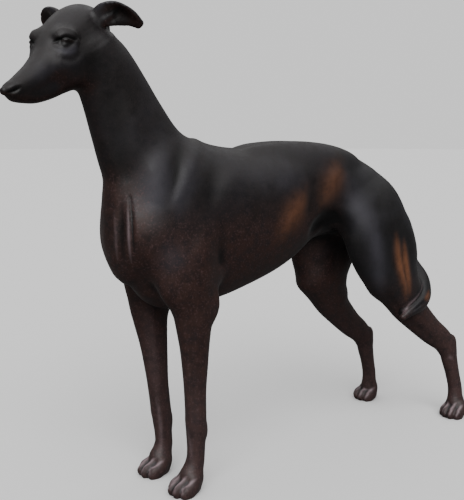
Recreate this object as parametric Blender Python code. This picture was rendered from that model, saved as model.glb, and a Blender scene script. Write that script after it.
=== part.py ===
"""Greyhound ornament: a standing greyhound cast in one piece, its tail laid round the left hind leg.

Metres, +Z up. The dog faces -Y, its left side is +X and its soles are cut flat at z = 0. The origin
is on the floor under the middle of the figure.

The anatomy is written in hundredths of the height at the withers, so UNIT turns it into metres.
Each limb, muscle and toe is a closed form of its own. Their union is remeshed into one body, and
every point of that body is then drawn onto the skin that runs over the forms and melts them together.
"""

import math

import bmesh
import bpy
import numpy as np
from mathutils import Matrix, Vector
from mathutils.bvhtree import BVHTree

WITHERS_HEIGHT = 0.215
UNIT = WITHERS_HEIGHT / 100

# Spacing of the remeshed body, in anatomy units, and the triangles that the finished solid keeps.
SPACING = 0.62
TRIANGLES = 9600

# Head: the point between the eyes, its turn to the dog's left, its tilt down, and its size.
HEAD_AT = (1.3, -36.6, 121.2)
HEAD_TURN = 28.0
HEAD_TILT = 22.5
HEAD_SIZE = 1.04

# Joints of the legs, from the body down to the fetlock, and then the middle of the paw.
LEFT_FORE = ((8.6, -1.4, 53), (8.3, -1.3, 21), (8.6, -1.4, 7.5), (8.8, -3.8, -0.8))
RIGHT_FORE = ((-8.4, -6.2, 53), (-7.8, -3.6, 19.5), (-7.2, -2.6, 7.5), (-6.8, -4.9, -0.8))
LEFT_HIND = ((6.9, 72, 82), (10.2, 76.0, 50.4), (13.6, 102.0, 26), (15.5, 106.5, 7.5), (16.3, 105.7, -0.8))
RIGHT_HIND = ((-6.9, 69, 82), (-9.8, 61.1, 50), (-12.6, 87.0, 25.7), (-13.9, 92.6, 7.5), (-14.7, 93.1, -0.8))

# Thickness of the legs and of the tail, against those of the photographed figure.
LEG_GIRTH = 1.0
TAIL_GIRTH = 1.0

# Paws: how many degrees the toes turn out, and the width and the length of the paw.
FORE_TOE_OUT = 3.0
HIND_TOE_OUT = 5.0
FORE_PAW = (1.0, 0.92)
HIND_PAW = (0.95, 0.85)

# Toes: how far each is from the middle of the paw, how far back it starts and how high its arch is.
TOES = ((-1.15, 0, 2.7), (1.15, 0, 2.7), (-3.15, 1.6, 2.4), (3.15, 1.6, 2.4))

# The floor, in anatomy units: the soles are cut at this height.
FLOOR = -0.8

# A form is felt this far beyond its blend, in anatomy units. FAR is farther than anything in the figure.
REACH = 2.5
FAR = 1000.0

# Limits on how points are drawn onto the skin: the longest step, and the slope that steps are measured by.
LONGEST_STEP = 1.5
LEAST_SLOPE = 0.25

LEFT = np.array((1.0, 0.0, 0.0))

# The patina's colour and roughness.
PATINA = (0.018, 0.014, 0.014, 1)
ROUGHNESS = 0.48

# Carving on both flanks: half width, height (sunk if below zero), and a line on the left side.
CARVING = (
    # Folds down the front of the chest.
    (0.9, -0.9, ((4.9, -22.5, 83), (5.2, -23, 76), (5.0, -23, 71), (4.6, -22.5, 66))),
    (1.3, 0.4, ((6.2, -21.5, 84), (7.0, -22, 77), (6.9, -22, 72), (6.4, -21.5, 65))),
    (1.0, -1.0, ((7.8, -20, 84), (8.9, -20.5, 77), (8.9, -20.5, 72), (8.0, -19.5, 65))),
    # Shoulder blade with its spine, and the edge of the upper arm.
    (3.6, 0.6, ((6.5, -8, 100), (8.0, -11, 92), (9.5, -13, 84))),
    (2.2, -0.9, ((6.5, -1, 99), (10.0, -5.5, 91.5), (11.0, -8, 88), (11.5, -11, 80))),
    (2.0, 0.7, ((6.0, 3, 98), (10.0, -2, 91.5), (11.5, -5, 88), (12.0, -9, 80))),
    (2.4, -0.9, ((8.0, 7, 95), (11.5, 2.5, 86), (12.5, 0.5, 81), (13.0, -3, 74))),
    (3.0, 0.6, ((12.5, 0, 79), (13.0, -2, 69), (13.0, -2, 60))),
    (2.2, -0.9, ((12.5, 4, 78), (12.0, 4.5, 69), (12.0, 4.5, 63), (12.0, 4, 54))),
    # Front of the thigh, and the hamstring with its groove.
    (3.2, 0.5, ((8.5, 50, 87), (9.5, 54.5, 76.5), (11.0, 57, 69), (12.5, 62, 59))),
    (2.2, -0.8, ((12.0, 65, 80), (15.0, 68, 67), (15.0, 71, 58), (14.0, 76, 47))),
    (2.2, 0.4, ((13.0, 76, 73), (15.0, 78, 62), (15.0, 80, 50))),
)


def through(rows, steps=6):
    """Rows of numbers joined by a smooth curve, with each gap between two rows cut into steps."""
    rows = np.array(rows, dtype=float)
    ends = np.vstack([2 * rows[0] - rows[1], rows, 2 * rows[-1] - rows[-2]])
    curve = []
    for before, start, stop, after in zip(ends, ends[1:], ends[2:], ends[3:]):
        for t in np.arange(steps) / steps:
            bend = 2 * before - 5 * start + 4 * stop - after
            twist = 3 * start - before - 3 * stop + after
            curve.append(0.5 * (2 * start + (stop - before) * t + bend * t ** 2 + twist * t ** 3))
    curve.append(rows[-1])
    return np.array(curve)


def unit(vectors):
    """The same vectors at length one."""
    return vectors / np.maximum(np.linalg.norm(vectors, axis=-1, keepdims=True), 1e-9)


def loft(rows, side=LEFT, around=36, cap=0.9):
    """A closed tube with oval rings and rounded ends.

    A row is x, y, z, the half width along side and the half depth across it. A sixth number makes the
    ring wider at one end of its depth than at the other, and a seventh bends both ends to the side.
    """
    rows = [tuple(row) + (0.0,) * (7 - len(row)) for row in rows]
    path = through(rows)
    centre = path[:, :3]
    along = unit(np.gradient(centre, axis=0))
    across = unit(side - (along @ side)[:, None] * along)
    deep = np.cross(across, along)
    rings = []
    first = cap * min(path[0, 3:5])
    last = cap * min(path[-1, 3:5])
    for turn in (85, 60, 35, 15):
        angle = math.radians(turn)
        rings.append((0, -first * math.sin(angle), math.cos(angle)))
    rings += [(index, 0.0, 1.0) for index in range(len(path))]
    for turn in (15, 35, 60, 85):
        angle = math.radians(turn)
        rings.append((len(path) - 1, last * math.sin(angle), math.cos(angle)))
    turn = np.linspace(0, 2 * math.pi, around, endpoint=False)[:, None]
    points = []
    for index, shift, size in rings:
        wide, high, pinch, curl = path[index, 3:7]
        width = size * (wide * np.cos(turn) * (1 + pinch * np.sin(turn)) + curl * np.sin(turn) ** 2)
        depth = high * size * np.sin(turn)
        middle = centre[index] + shift * along[index]
        points.append(middle + width * across[index] + depth * deep[index])
    points = np.vstack(points)
    faces = []
    for ring in range(len(rings) - 1):
        for step in range(around):
            a = ring * around + step
            b = ring * around + (step + 1) % around
            faces.append((a, a + around, b + around, b))
    faces.append(tuple(range(around)))
    faces.append(tuple(reversed(range(len(points) - around, len(points)))))
    return points, faces


def lump(at, size, turn=(0, 0, 0), around=28):
    """A closed egg with three half lengths, turned about x, then y, then z."""
    shape = bmesh.new()
    bmesh.ops.create_uvsphere(shape, u_segments=around, v_segments=around * 2 // 3, radius=1)
    points = np.array([vertex.co for vertex in shape.verts]) * np.array(size)
    faces = [tuple(vertex.index for vertex in face.verts) for face in shape.faces]
    shape.free()
    spin = np.eye(3)
    for angle, axis in zip(turn, "XYZ"):
        spin = np.array(Matrix.Rotation(math.radians(angle), 3, axis)) @ spin
    return points @ spin.T + np.array(at), faces


class Form:
    """A closed shape of the figure, with how softly it melts into the forms before it."""

    def __init__(self, shape, blend, hollow=False, place=None):
        points, faces = shape
        if place is not None:
            points = place(points)
        self.points = points
        self.faces = faces
        self.blend = blend
        self.hollow = hollow
        self.tree = BVHTree.FromPolygons([Vector(point) for point in points], faces)
        self.low = points.min(axis=0) - blend - REACH
        self.high = points.max(axis=0) + blend + REACH

    def gap(self, points):
        """How far each point is outside the form, and the direction in which that grows."""
        near = []
        normal = []
        for point in points.tolist():
            place, facing, _, _ = self.tree.find_nearest(point)
            near.append(place)
            normal.append(facing)
        offset = points - np.array(near)
        normal = np.array(normal)
        length = np.linalg.norm(offset, axis=1)
        sign = np.where(np.sum(offset * normal, axis=1) < 0, -1.0, 1.0)
        way = np.where(length[:, None] < 1e-4, normal, unit(offset) * sign[:, None])
        return length * sign, way


def skin(points, forms):
    """The melted skin's distance from each point, and the direction in which that grows."""
    gap = np.full(len(points), FAR)
    way = np.zeros((len(points), 3))
    for form in forms:
        near = np.all((points > form.low) & (points < form.high), axis=1)
        index = np.nonzero(near)[0]
        if len(index) == 0:
            continue
        theirs, their_way = form.gap(points[index])
        ours, our_way = gap[index], way[index]
        sense = -1.0 if form.hollow else 1.0
        if form.hollow:
            theirs, their_way = -theirs, -their_way
        share = np.clip(1 - np.abs(ours - theirs) / form.blend, 0, 1)
        gap[index] = sense * (np.minimum(sense * ours, sense * theirs) - share ** 2 * form.blend / 4)
        weight = np.where(sense * ours < sense * theirs, 1 - share / 2, share / 2)[:, None]
        way[index] = our_way * weight + their_way * (1 - weight)
    return gap, way


def draw_on(points, forms, steps=4):
    """The points moved onto the melted skin."""
    for _ in range(steps):
        gap, way = skin(points, forms)
        slope = np.maximum(np.sum(way ** 2, axis=1), LEAST_SLOPE)
        move = np.clip(gap / slope, -LONGEST_STEP, LONGEST_STEP)
        points = points - move[:, None] * way
    return points


def turned(at, turn=0.0, tilt=0.0, size=1.0):
    """What carries points from a part's own frame, which faces -Y, to its place in the figure."""
    spin = Matrix.Rotation(math.radians(turn), 3, "Z") @ Matrix.Rotation(math.radians(tilt), 3, "X")
    spin = np.array(spin)
    at = np.array(at)

    def place(points):
        return (points * size) @ spin.T + at

    return place


def mirrored(shape):
    """The same shape on the other side of the midline."""
    points, faces = shape
    return points * (-1, 1, 1), [tuple(reversed(face)) for face in faces]


def both(shape):
    """The shape and its mirror image."""
    return shape, mirrored(shape)


def torso():
    """Deep chest, tucked belly, arched loin and sloping croup, then the muscles that lie on them."""
    trunk = loft((
        (0, -16.5, 73.0, 8.0, 13, 0.1),
        (0, -10, 73.0, 10.2, 18.6, 0.15),
        (0, -1, 73.9, 11.4, 22.0, 0.2),
        (0, 10, 74.8, 12.0, 22.3, 0.22),
        (0, 21, 76.1, 12.2, 20.7, 0.22),
        (0, 31, 78.5, 11.8, 19.3, 0.2),
        (0, 41, 81.6, 10.6, 16.5, 0.15),
        (0, 51, 83.3, 9.4, 13.8, 0.1),
        (0, 61, 82.0, 9.0, 12.2, 0),
        (0, 71, 78.1, 8.6, 10.5, 0),
        (0, 78.5, 74.0, 7.4, 8.7, 0),
        (0, 83.5, 71.2, 5.0, 6.8, 0),
    ), around=64)
    forms = [Form(trunk, 1)]
    for blade in both(lump((8.0, -5, 79), (4.0, 8.5, 15.5), (20, -8, 0))):
        forms.append(Form(blade, 4))
    for point in both(lump((7.0, -13.7, 72), (4.2, 5.1, 8.5), (25, 0, 0))):
        forms.append(Form(point, 6))
    for arm in both(lump((9.2, -4.5, 62.6), (4.0, 8.8, 9.8), (-25, 0, 0))):
        forms.append(Form(arm, 3.5))
    forms.append(Form(lump((0, -16.1, 74), (6.0, 5.9, 13), (8, 0, 0)), 5))
    forms.append(Form(lump((0, -4, 57), (5.0, 9, 5.0), (-8, 0, 0)), 5))
    sheath = loft((
        (0, 36, 66.2, 2.0, 2.1),
        (0, 45, 69.0, 2.1, 2.5),
        (0, 52, 70.4, 2.0, 2.5),
        (0, 57, 71.8, 1.5, 1.6),
    ))
    forms.append(Form(sheath, 1.5))
    for back in both(lump((3.6, 42, 92.75), (3.4, 22, 5.0), (-4, 0, 0))):
        forms.append(Form(back, 3))
    return forms


def neck():
    """Long neck, deep from throat to nape, that widens into the chest and the withers."""
    stem = loft((
        (0, 3, 80.5, 8.0, 14.3),
        (0, -7.0, 87.3, 8.6, 15.7),
        (0, -12.4, 95.0, 7.8, 12.8),
        (0, -16.6, 103.5, 6.9, 10.9),
        (0.1, -19.9, 110.6, 6.3, 9.6),
        (0.3, -23.4, 117.2, 6.0, 8.4),
        (0.6, -26.0, 121.0, 5.5, 7.2),
    ), around=48)
    return [Form(stem, 6)]


def head_place():
    """What carries points from the head's own frame to its place on the neck."""
    return turned(HEAD_AT, HEAD_TURN, HEAD_TILT, HEAD_SIZE)


def head():
    """Long narrow skull and muzzle, in a frame of its own whose origin is between the eyes."""
    place = head_place()
    skull = loft((
        (0, 15.5, 0.0, 4.8, 5.5),
        (0, 11, 0.9, 6.0, 6.5),
        (0, 6, 0.8, 6.2, 6.4),
        (0, 1, 0.1, 5.4, 5.3),
        (0, -4, -1.8, 4.2, 3.9),
        (0, -9, -3.0, 3.3, 3.15),
        (0, -13, -3.5, 2.8, 2.7),
        (0, -16.2, -3.6, 2.3, 2.2),
        (0, -18.4, -3.3, 1.75, 1.7),
        (0, -20.1, -3.0, 1.0, 0.95),
    ))
    jaw = loft((
        (0, 10, -6.2, 3.6, 4.2),
        (0, 5, -6.8, 4.1, 3.8),
        (0, -1, -7.1, 3.6, 3.1),
        (0, -7, -7.4, 2.8, 2.4),
        (0, -12, -7.1, 2.1, 1.75),
        (0, -15.6, -6.0, 1.6, 1.3),
        (0, -17.6, -5.1, 1.2, 1.0),
    ))
    forms = [Form(skull, 3, place=place), Form(jaw, 2.4, place=place)]
    for cheek in both(lump((3.7, 2.5, -4.6), (2.6, 7.5, 4.2), (-8, 0, 0))):
        forms.append(Form(cheek, 4, place=place))
    for brow in both(lump((3.8, 0.3, 3.0), (2.6, 3.0, 1.6), (0, 25, 10))):
        forms.append(Form(brow, 1.5, place=place))
    cheekbone = loft((
        (3.3, -5.0, -2.6, 0.7, 0.8),
        (4.5, -1.5, -3.3, 0.8, 0.9),
        (5.3, 2.5, -2.8, 0.8, 1.0),
        (5.9, 6.5, -1.2, 0.7, 0.9),
    ), around=16)
    for arch in both(cheekbone):
        forms.append(Form(arch, 1.8, place=place))
    for eye in both(lump((4.2, -0.9, 1.35), (1.25, 1.9, 0.95), (0, 20, 25))):
        forms.append(Form(eye, 0.3, place=place))
    lid = loft((
        (3.1, -3.2, 1.6, 0.3, 0.3),
        (4.3, -2.8, 0.75, 0.45, 0.45),
        (5.2, -1.5, 0.2, 0.5, 0.5),
        (5.7, 0.0, 0.35, 0.45, 0.45),
        (6.0, 1.4, 1.1, 0.3, 0.3),
    ), around=14)
    for lower_lid in both(lid):
        forms.append(Form(lower_lid, 0.8, place=place))
    return forms


def ears():
    """Folded ears: a pointed shell that stands out sideways and back, its rims curled forward."""
    shell = loft((
        (5.2, 11.6, 3.4, 1.5, 2.2, 0, -0.2),
        (7.4, 12.9, 4.1, 1.3, 2.9, 0, -0.9),
        (9.9, 14.4, 4.0, 1.2, 3.0, 0, -1.3),
        (12.2, 15.7, 2.5, 1.1, 2.4, 0, -1.0),
        (13.8, 16.7, 0.2, 0.9, 1.3, 0, -0.3),
    ), side=np.array((0.0, 1.0, 0.0)), cap=0.8)
    fold = loft((
        (5.7, 11.0, 1.1, 0.6, 0.6),
        (7.2, 11.6, 2.9, 0.6, 0.6),
        (9.5, 12.8, 3.9, 0.5, 0.5),
    ), around=14)
    place = head_place()
    forms = [Form(ear, 1.2, place=place) for ear in both(shell)]
    forms += [Form(crease, 0.8, place=place) for crease in both(fold)]
    return forms


def along_bones(joints, profile):
    """Rows for a limb: bone, share of it, shift sideways and back, half width and half depth."""
    outward = 1 if joints[0][0] > 0 else -1
    rows = []
    for bone, share, out, back, width, depth in profile:
        start = np.array(joints[bone], dtype=float)
        stop = np.array(joints[bone + 1], dtype=float)
        middle = start + (stop - start) * share
        middle += (out * outward, back, 0)
        rows.append((*middle, width * LEG_GIRTH, depth * LEG_GIRTH))
    return rows


def foreleg(joints):
    """Forearm, wrist and pastern, with the elbow behind."""
    rows = along_bones(joints, (
        (0, -0.3, -1.5, 0.5, 3.8, 8.6),
        (0, 0.0, -0.2, -0.3, 4.0, 6.6),
        (0, 0.2, 0.0, -0.3, 3.5, 5.4),
        (0, 0.38, 0.0, -0.1, 3.1, 4.5),
        (0, 0.56, 0.0, 0.0, 2.8, 3.9),
        (0, 0.76, 0.0, 0.0, 2.5, 3.4),
        (0, 0.94, 0.0, 0.1, 2.65, 3.2),
        (1, 0.08, 0.0, 0.1, 2.75, 3.2),
        (1, 0.32, 0.0, 0.1, 2.6, 3.0),
        (1, 0.75, 0.0, 0.0, 2.4, 2.7),
        (1, 1.0, 0.0, -0.4, 2.4, 2.9),
        (2, 0.4, 0.0, -0.7, 2.7, 3.3),
    ))
    forms = [Form(loft(rows), 3.5)]
    outward = 1 if joints[0][0] > 0 else -1
    elbow = np.array(joints[0]) + (0.4 * outward, 4.6, -0.5)
    forms.append(Form(lump(elbow, (2.4, 2.8, 4.2), (-15, 0, 0)), 2.5))
    wrist_pad = np.array(joints[1]) + (0, 2.4, -4.6)
    forms.append(Form(lump(wrist_pad, (1.4, 1.3, 2.6)), 1.6))
    return forms


def paw(at, toe_out, width, length):
    """Four arched toes in front of a pad. All of them reach below the floor, where the sole is cut."""
    outward = 1 if at[0] > 0 else -1
    place = turned(at, toe_out * outward)
    forms = [Form(lump((0, 0.4, 2.6), (3.1 * width, 3.6 * length, 3.5)), 2.5, place=place)]
    forms.append(Form(lump((0, -1.6 * length, 0.9), (3.5 * width, 4.8 * length, 2.1)), 1.0, place=place))
    for out, reach, high in TOES:
        toe = loft((
            (out * 0.7 * width, 0.3 * length, high + 2.0, 1.4, 2.0),
            (out * 0.95 * width, (reach - 2.6) * length, high, 1.35, 2.1),
            (out * 1.02 * width, (reach - 4.7) * length, high - 1.1, 1.3, 2.2),
            (out * 0.98 * width, (reach - 6.0) * length, high - 1.8, 1.05, 1.7),
        ), around=20)
        forms.append(Form(toe, 0.45, place=place))
    return forms


def hindleg(joints):
    """Broad thigh, gaskin, hock with its tendon, and the long bone down to the paw."""
    outward = 1 if joints[0][0] > 0 else -1
    thigh = loft(along_bones(joints, (
        (0, 0.0, -2.4, -8, 3.4, 8.0),
        (0, 0.14, -0.8, -6.5, 5.6, 11.8),
        (0, 0.34, 0.4, -4.6, 6.4, 13.2),
        (0, 0.58, 0.4, -2.6, 6.4, 13.2),
        (0, 0.8, 0.2, -1.0, 5.8, 11.5),
        (0, 0.94, 0.0, 0.2, 5.2, 8.2),
    )), around=48)
    shank = loft(along_bones(joints, (
        (1, -0.12, -0.2, 0.9, 5.0, 7.6),
        (1, 0.1, 0.0, 0.2, 5.0, 7.2),
        (1, 0.32, 0.0, -1.4, 4.3, 6.4),
        (1, 0.54, 0.0, -1.8, 3.4, 5.5),
        (1, 0.76, 0.0, -1.5, 2.7, 4.8),
        (1, 0.93, 0.0, -0.3, 2.4, 4.3),
        (2, 0.12, 0.0, 0.3, 2.4, 4.0),
        (2, 0.3, 0.0, 0.2, 2.3, 3.4),
        (2, 0.6, 0.0, 0.2, 2.25, 2.75),
        (2, 0.9, 0.0, 0.0, 2.3, 2.7),
        (3, 0.35, 0.0, -0.3, 2.5, 3.1),
    )))
    hamstring = loft(along_bones(joints, (
        (0, 0.42, -0.6, 6.0, 4.0, 5.0),
        (0, 0.62, 0.0, 7.0, 4.4, 5.0),
        (0, 0.84, 0.0, 7.4, 4.0, 4.8),
        (1, 0.06, 0.0, 7.0, 3.2, 3.8),
        (1, 0.22, 0.0, 4.6, 2.4, 3.0),
    )))
    forms = [Form(thigh, 6), Form(hamstring, 4), Form(shank, 4)]
    heel = np.array(joints[2]) + (0.1 * outward, 2.6, 0.2)
    forms.append(Form(lump(heel, (1.6, 1.7, 2.6), (-20, 0, 0)), 1.6))
    return forms


def tuck():
    """The hollow under each flank, between the belly and the front of the thigh."""
    return [
        Form(lump((10.5, 49.0, 70.5), (6.5, 7.5, 6.0)), 2.5, hollow=True),
        Form(lump((-10.5, 42.5, 67.0), (6.0, 6.5, 5.5)), 2.5, hollow=True),
    ]


def tail():
    """Thin tail that hangs behind the thighs, bends forward at the left gaskin and lies across it."""
    rows = (
        (0, 79.4, 79.4, 3.0, 3.2),
        (0, 85.8, 75.0, 2.7, 2.9),
        (0.3, 88.4, 68.5, 2.4, 2.7),
        (2.0, 89.7, 61.0, 2.2, 3.2),
        (5.6, 90.7, 54.7, 2.2, 3.8),
        (10.0, 91.5, 49.8, 2.0, 3.8),
        (13.0, 90.0, 46.8, 1.8, 3.2),
        (15.0, 87.0, 44.0, 1.6, 2.3),
        (15.8, 81.5, 42.0, 1.5, 1.8),
        (15.4, 76.4, 39.8, 1.2, 1.2),
    )
    rows = [(x, y, z, wide * TAIL_GIRTH, deep * TAIL_GIRTH) for x, y, z, wide, deep in rows]
    return [Form(loft(rows, around=24), 1.6)]


def figure():
    """All the forms of the dog, in the order in which they melt together."""
    forms = torso() + neck() + head() + ears()
    for joints in (LEFT_HIND, RIGHT_HIND):
        forms += hindleg(joints)
        forms += paw(joints[-1], HIND_TOE_OUT, *HIND_PAW)
    forms += tuck()
    for joints in (LEFT_FORE, RIGHT_FORE):
        forms += foreleg(joints)
        forms += paw(joints[-1], FORE_TOE_OUT, *FORE_PAW)
    return forms + tail()


def mesh_object(name, points, faces):
    """A new object in the scene that holds these points and faces."""
    mesh = bpy.data.meshes.new(name)
    mesh.from_pydata([tuple(point) for point in points], [], faces)
    item = bpy.data.objects.new(name, mesh)
    bpy.context.scene.collection.objects.link(item)
    return item


def applied(item):
    """Turn the object's modifiers into its mesh."""
    depsgraph = bpy.context.evaluated_depsgraph_get()
    mesh = bpy.data.meshes.new_from_object(item.evaluated_get(depsgraph))
    item.modifiers.clear()
    item.data = mesh


def remeshed(name, forms, spacing):
    """One body round the union of the forms that add material."""
    points = []
    faces = []
    start = 0
    for form in forms:
        if form.hollow:
            continue
        points.append(form.points)
        faces += [tuple(index + start for index in face) for face in form.faces]
        start += len(form.points)
    body = mesh_object(name, np.vstack(points), faces)
    remesh = body.modifiers.new("Remesh", "REMESH")
    remesh.mode = "VOXEL"
    remesh.voxel_size = spacing
    applied(body)
    return body


def coordinates(mesh):
    """The mesh's points, one row each."""
    points = np.empty(len(mesh.vertices) * 3)
    mesh.vertices.foreach_get("co", points)
    return points.reshape(-1, 3)


def set_coordinates(mesh, points):
    """Move the mesh's points to these places."""
    mesh.vertices.foreach_set("co", points.astype(np.float32).ravel())
    mesh.update()


def neighbour_mean(mesh, points):
    """The average of each point's neighbours."""
    pairs = np.empty(len(mesh.edges) * 2, dtype=np.int64)
    mesh.edges.foreach_get("vertices", pairs)
    pairs = pairs.reshape(-1, 2)
    total = np.zeros_like(points)
    count = np.zeros(len(points))
    for here, there in ((0, 1), (1, 0)):
        np.add.at(total, pairs[:, here], points[pairs[:, there]])
        np.add.at(count, pairs[:, here], 1)
    return total / count[:, None]


def stroke(points, line, width):
    """How much a stroke along the line touches each point, fading to its sides and its ends."""
    nearest = np.full(len(points), FAR)
    place = np.zeros(len(points))
    for index, (start, stop) in enumerate(zip(line, line[1:])):
        run = stop - start
        share = np.clip(((points - start) @ run) / (run @ run), 0, 1)
        distance = np.sum((points - start - share[:, None] * run) ** 2, axis=1)
        closer = distance < nearest
        nearest = np.where(closer, distance, nearest)
        place = np.where(closer, (index + share) / (len(line) - 1), place)
    ends = np.clip(4 * np.minimum(place, 1 - place), 0, 1)
    return np.exp(-nearest / width ** 2) * ends ** 2 * (3 - 2 * ends)


def carved(mesh, forms):
    """Raise the ridges and sink the grooves of the carving along the skin's normals."""
    points = coordinates(mesh)
    normals = np.empty(len(mesh.vertices) * 3)
    mesh.vertex_normals.foreach_get("vector", normals)
    normals = normals.reshape(-1, 3)
    lift = np.zeros(len(points))
    for width, height, line in CARVING:
        for sense in (1, -1):
            route = through(np.array(line) * (sense, 1, 1), 3)
            route = draw_on(route, forms)
            low = route.min(axis=0) - 3 * width
            high = route.max(axis=0) + 3 * width
            near = np.all((points > low) & (points < high), axis=1)
            lift[near] += height * stroke(points[near], route, width)
    set_coordinates(mesh, points + lift[:, None] * normals)


def evened(mesh, points, share):
    """The points moved by a share of the way to the average of their neighbours."""
    return (1 - share) * points + share * neighbour_mean(mesh, points)


def shaped(mesh, forms):
    """Draw the mesh onto the melted skin, evening it out on the way, and carve it."""
    points = evened(mesh, coordinates(mesh), 0.5)
    points = draw_on(points, forms, steps=3)
    points = evened(mesh, points, 0.5)
    points = draw_on(points, forms, steps=2)
    set_coordinates(mesh, evened(mesh, points, 0.4))
    carved(mesh, forms)


def cut_soles(mesh):
    """Cut the paws flat at the floor and close them."""
    shape = bmesh.new()
    shape.from_mesh(mesh)
    everything = shape.verts[:] + shape.edges[:] + shape.faces[:]
    bmesh.ops.bisect_plane(
        shape, geom=everything, plane_co=(0, 0, FLOOR), plane_no=(0, 0, -1), clear_outer=True, dist=1e-6)
    rim = [edge for edge in shape.edges if edge.is_boundary]
    bmesh.ops.holes_fill(shape, edges=rim, sides=0)
    bmesh.ops.triangulate(shape, faces=shape.faces[:])
    bmesh.ops.recalc_face_normals(shape, faces=shape.faces[:])
    shape.to_mesh(mesh)
    shape.free()


def patina():
    """Near-black satin resin."""
    material = bpy.data.materials.new("dark_patina")
    material.use_nodes = True
    shader = material.node_tree.nodes["Principled BSDF"]
    shader.inputs["Base Color"].default_value = PATINA
    shader.inputs["Roughness"].default_value = ROUGHNESS
    shader.inputs["Metallic"].default_value = 0.0
    return material


def main():
    """Build the figure in an empty scene and set it down on its soles."""
    for item in list(bpy.data.objects):
        bpy.data.objects.remove(item)
    forms = figure()
    dog = remeshed("greyhound", forms, SPACING)
    shaped(dog.data, forms)
    thin = dog.modifiers.new("Decimate", "DECIMATE")
    thin.ratio = TRIANGLES / sum(len(face.vertices) - 2 for face in dog.data.polygons)
    thin.use_collapse_triangulate = True
    applied(dog)
    cut_soles(dog.data)
    points = coordinates(dog.data)
    middle = (points.min(axis=0) + points.max(axis=0)) / 2
    set_coordinates(dog.data, (points - (middle[0], middle[1], FLOOR)) * UNIT)
    dog.data.shade_smooth()
    dog.data.materials.append(patina())
    dog.name = "greyhound"


main()
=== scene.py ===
"""Greyhound ornament: the dressed figure, its patina and a plain studio.

Metres, +Z up. The dog faces -Y and its left side is +X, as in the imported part. The anatomy is written
in hundredths of the height at the withers. The figure is the same as the part's solid, cut much finer,
with the finer folds, tendons, streaks and grooves that the solid leaves out.
"""

import math

import bmesh
import bpy
import numpy as np
from mathutils import Matrix, Vector
from mathutils.bvhtree import BVHTree


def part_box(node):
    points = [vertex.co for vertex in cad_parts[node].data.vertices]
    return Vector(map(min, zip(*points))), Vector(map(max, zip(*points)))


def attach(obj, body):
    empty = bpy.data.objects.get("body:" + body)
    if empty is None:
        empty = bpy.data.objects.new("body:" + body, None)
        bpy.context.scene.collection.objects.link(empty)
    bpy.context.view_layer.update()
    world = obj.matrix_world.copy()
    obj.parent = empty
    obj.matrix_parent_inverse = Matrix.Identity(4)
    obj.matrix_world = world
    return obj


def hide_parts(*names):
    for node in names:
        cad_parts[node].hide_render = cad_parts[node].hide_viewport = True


WITHERS_HEIGHT = 0.215
UNIT = WITHERS_HEIGHT / 100

# The head and the paws are cut finer.
SPACING = 0.78

# Head: the point between the eyes, its turn to the dog's left, its tilt down, and its size.
HEAD_AT = (1.3, -36.6, 121.2)
HEAD_TURN = 28.0
HEAD_TILT = 22.5
HEAD_SIZE = 1.04

# Joints of the legs, from the body down to the fetlock, and then the middle of the paw.
LEFT_FORE = ((8.6, -1.4, 53), (8.3, -1.3, 21), (8.6, -1.4, 7.5), (8.8, -3.8, -0.8))
RIGHT_FORE = ((-8.4, -6.2, 53), (-7.8, -3.6, 19.5), (-7.2, -2.6, 7.5), (-6.8, -4.9, -0.8))
LEFT_HIND = (
    (6.9, 72, 82), (10.2, 76.0, 50.4), (13.6, 102.0, 26), (15.5, 106.5, 7.5), (16.3, 105.7, -0.8))
RIGHT_HIND = (
    (-6.9, 69, 82), (-9.8, 61.1, 50), (-12.6, 87.0, 25.7), (-13.9, 92.6, 7.5), (-14.7, 93.1, -0.8))

# Paws: how many degrees the toes turn out, and the width and the length of the paw.
FORE_TOE_OUT = 3.0
HIND_TOE_OUT = 5.0
FORE_PAW = (1.0, 0.92)
HIND_PAW = (0.95, 0.85)

# Toes: how far each is from the middle of the paw, how far back it starts and how high its arch is.
TOES = ((-1.15, 0, 2.7), (1.15, 0, 2.7), (-3.15, 1.6, 2.4), (3.15, 1.6, 2.4))

# Each leg with its toes' turn and the width and length of its paw.
PAWS = (
    (LEFT_FORE, FORE_TOE_OUT, FORE_PAW),
    (RIGHT_FORE, FORE_TOE_OUT, FORE_PAW),
    (LEFT_HIND, HIND_TOE_OUT, HIND_PAW),
    (RIGHT_HIND, HIND_TOE_OUT, HIND_PAW),
)

# The floor, in anatomy units: the soles are cut at this height.
FLOOR = -0.8

# A form is felt this far beyond its blend, in anatomy units. FAR is farther than anything in the figure.
REACH = 2.5
FAR = 1000.0

# Limits on how points are drawn onto the skin: the longest step, and the slope that steps are measured by.
LONGEST_STEP = 1.5
LEAST_SLOPE = 0.25

# How far the mesh is evened out between the steps, and once more at the end.
EVENING = 0.5
LAST_EVENING = 0.35

# Rounded ends of the lofts: the rings on them, in degrees from their rim. Segments round an egg.
CAP_RINGS = (85, 60, 35, 15)
EGG_AROUND = 28

# Strokes: the steps between two points of a line, how many half widths off a stroke ends, the share of
# its length over which it has faded at each end, how blunt that end is, and how narrow it gets.
LINE_STEPS = 4
STROKE_REACH = 2.5
STROKE_END = 0.02
STROKE_BLUNT = 0.6
STROKE_LEAST = 0.45

LEFT = np.array((1.0, 0.0, 0.0))

# The photograph's viewpoint: where it stands in anatomy units, its turn and dip, and its lens.
VIEW_FROM = (178, -110, 102)
VIEW_TURN = 54.4
VIEW_DIP = 9.3
VIEW_LENS = 53.4

# A soft dome above the studio, dark below its rim, and the pale backdrop that the camera sees.
DOME_LIGHT = 0.95
DOME_RIM = (0.30, 0.68)
LOW_LIGHT = 0.02
BACKDROP = 0.94
FLOOR_PALE = 0.9
FLOOR_BOUNCE = 0.08
FLOOR_RADIUS = 8

# Lamps: name, the direction that it shines from, its spread in degrees and its strength.
LAMPS = (
    ("key", (0.62, -0.42, 0.66), 60, 2.2),
)

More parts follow.
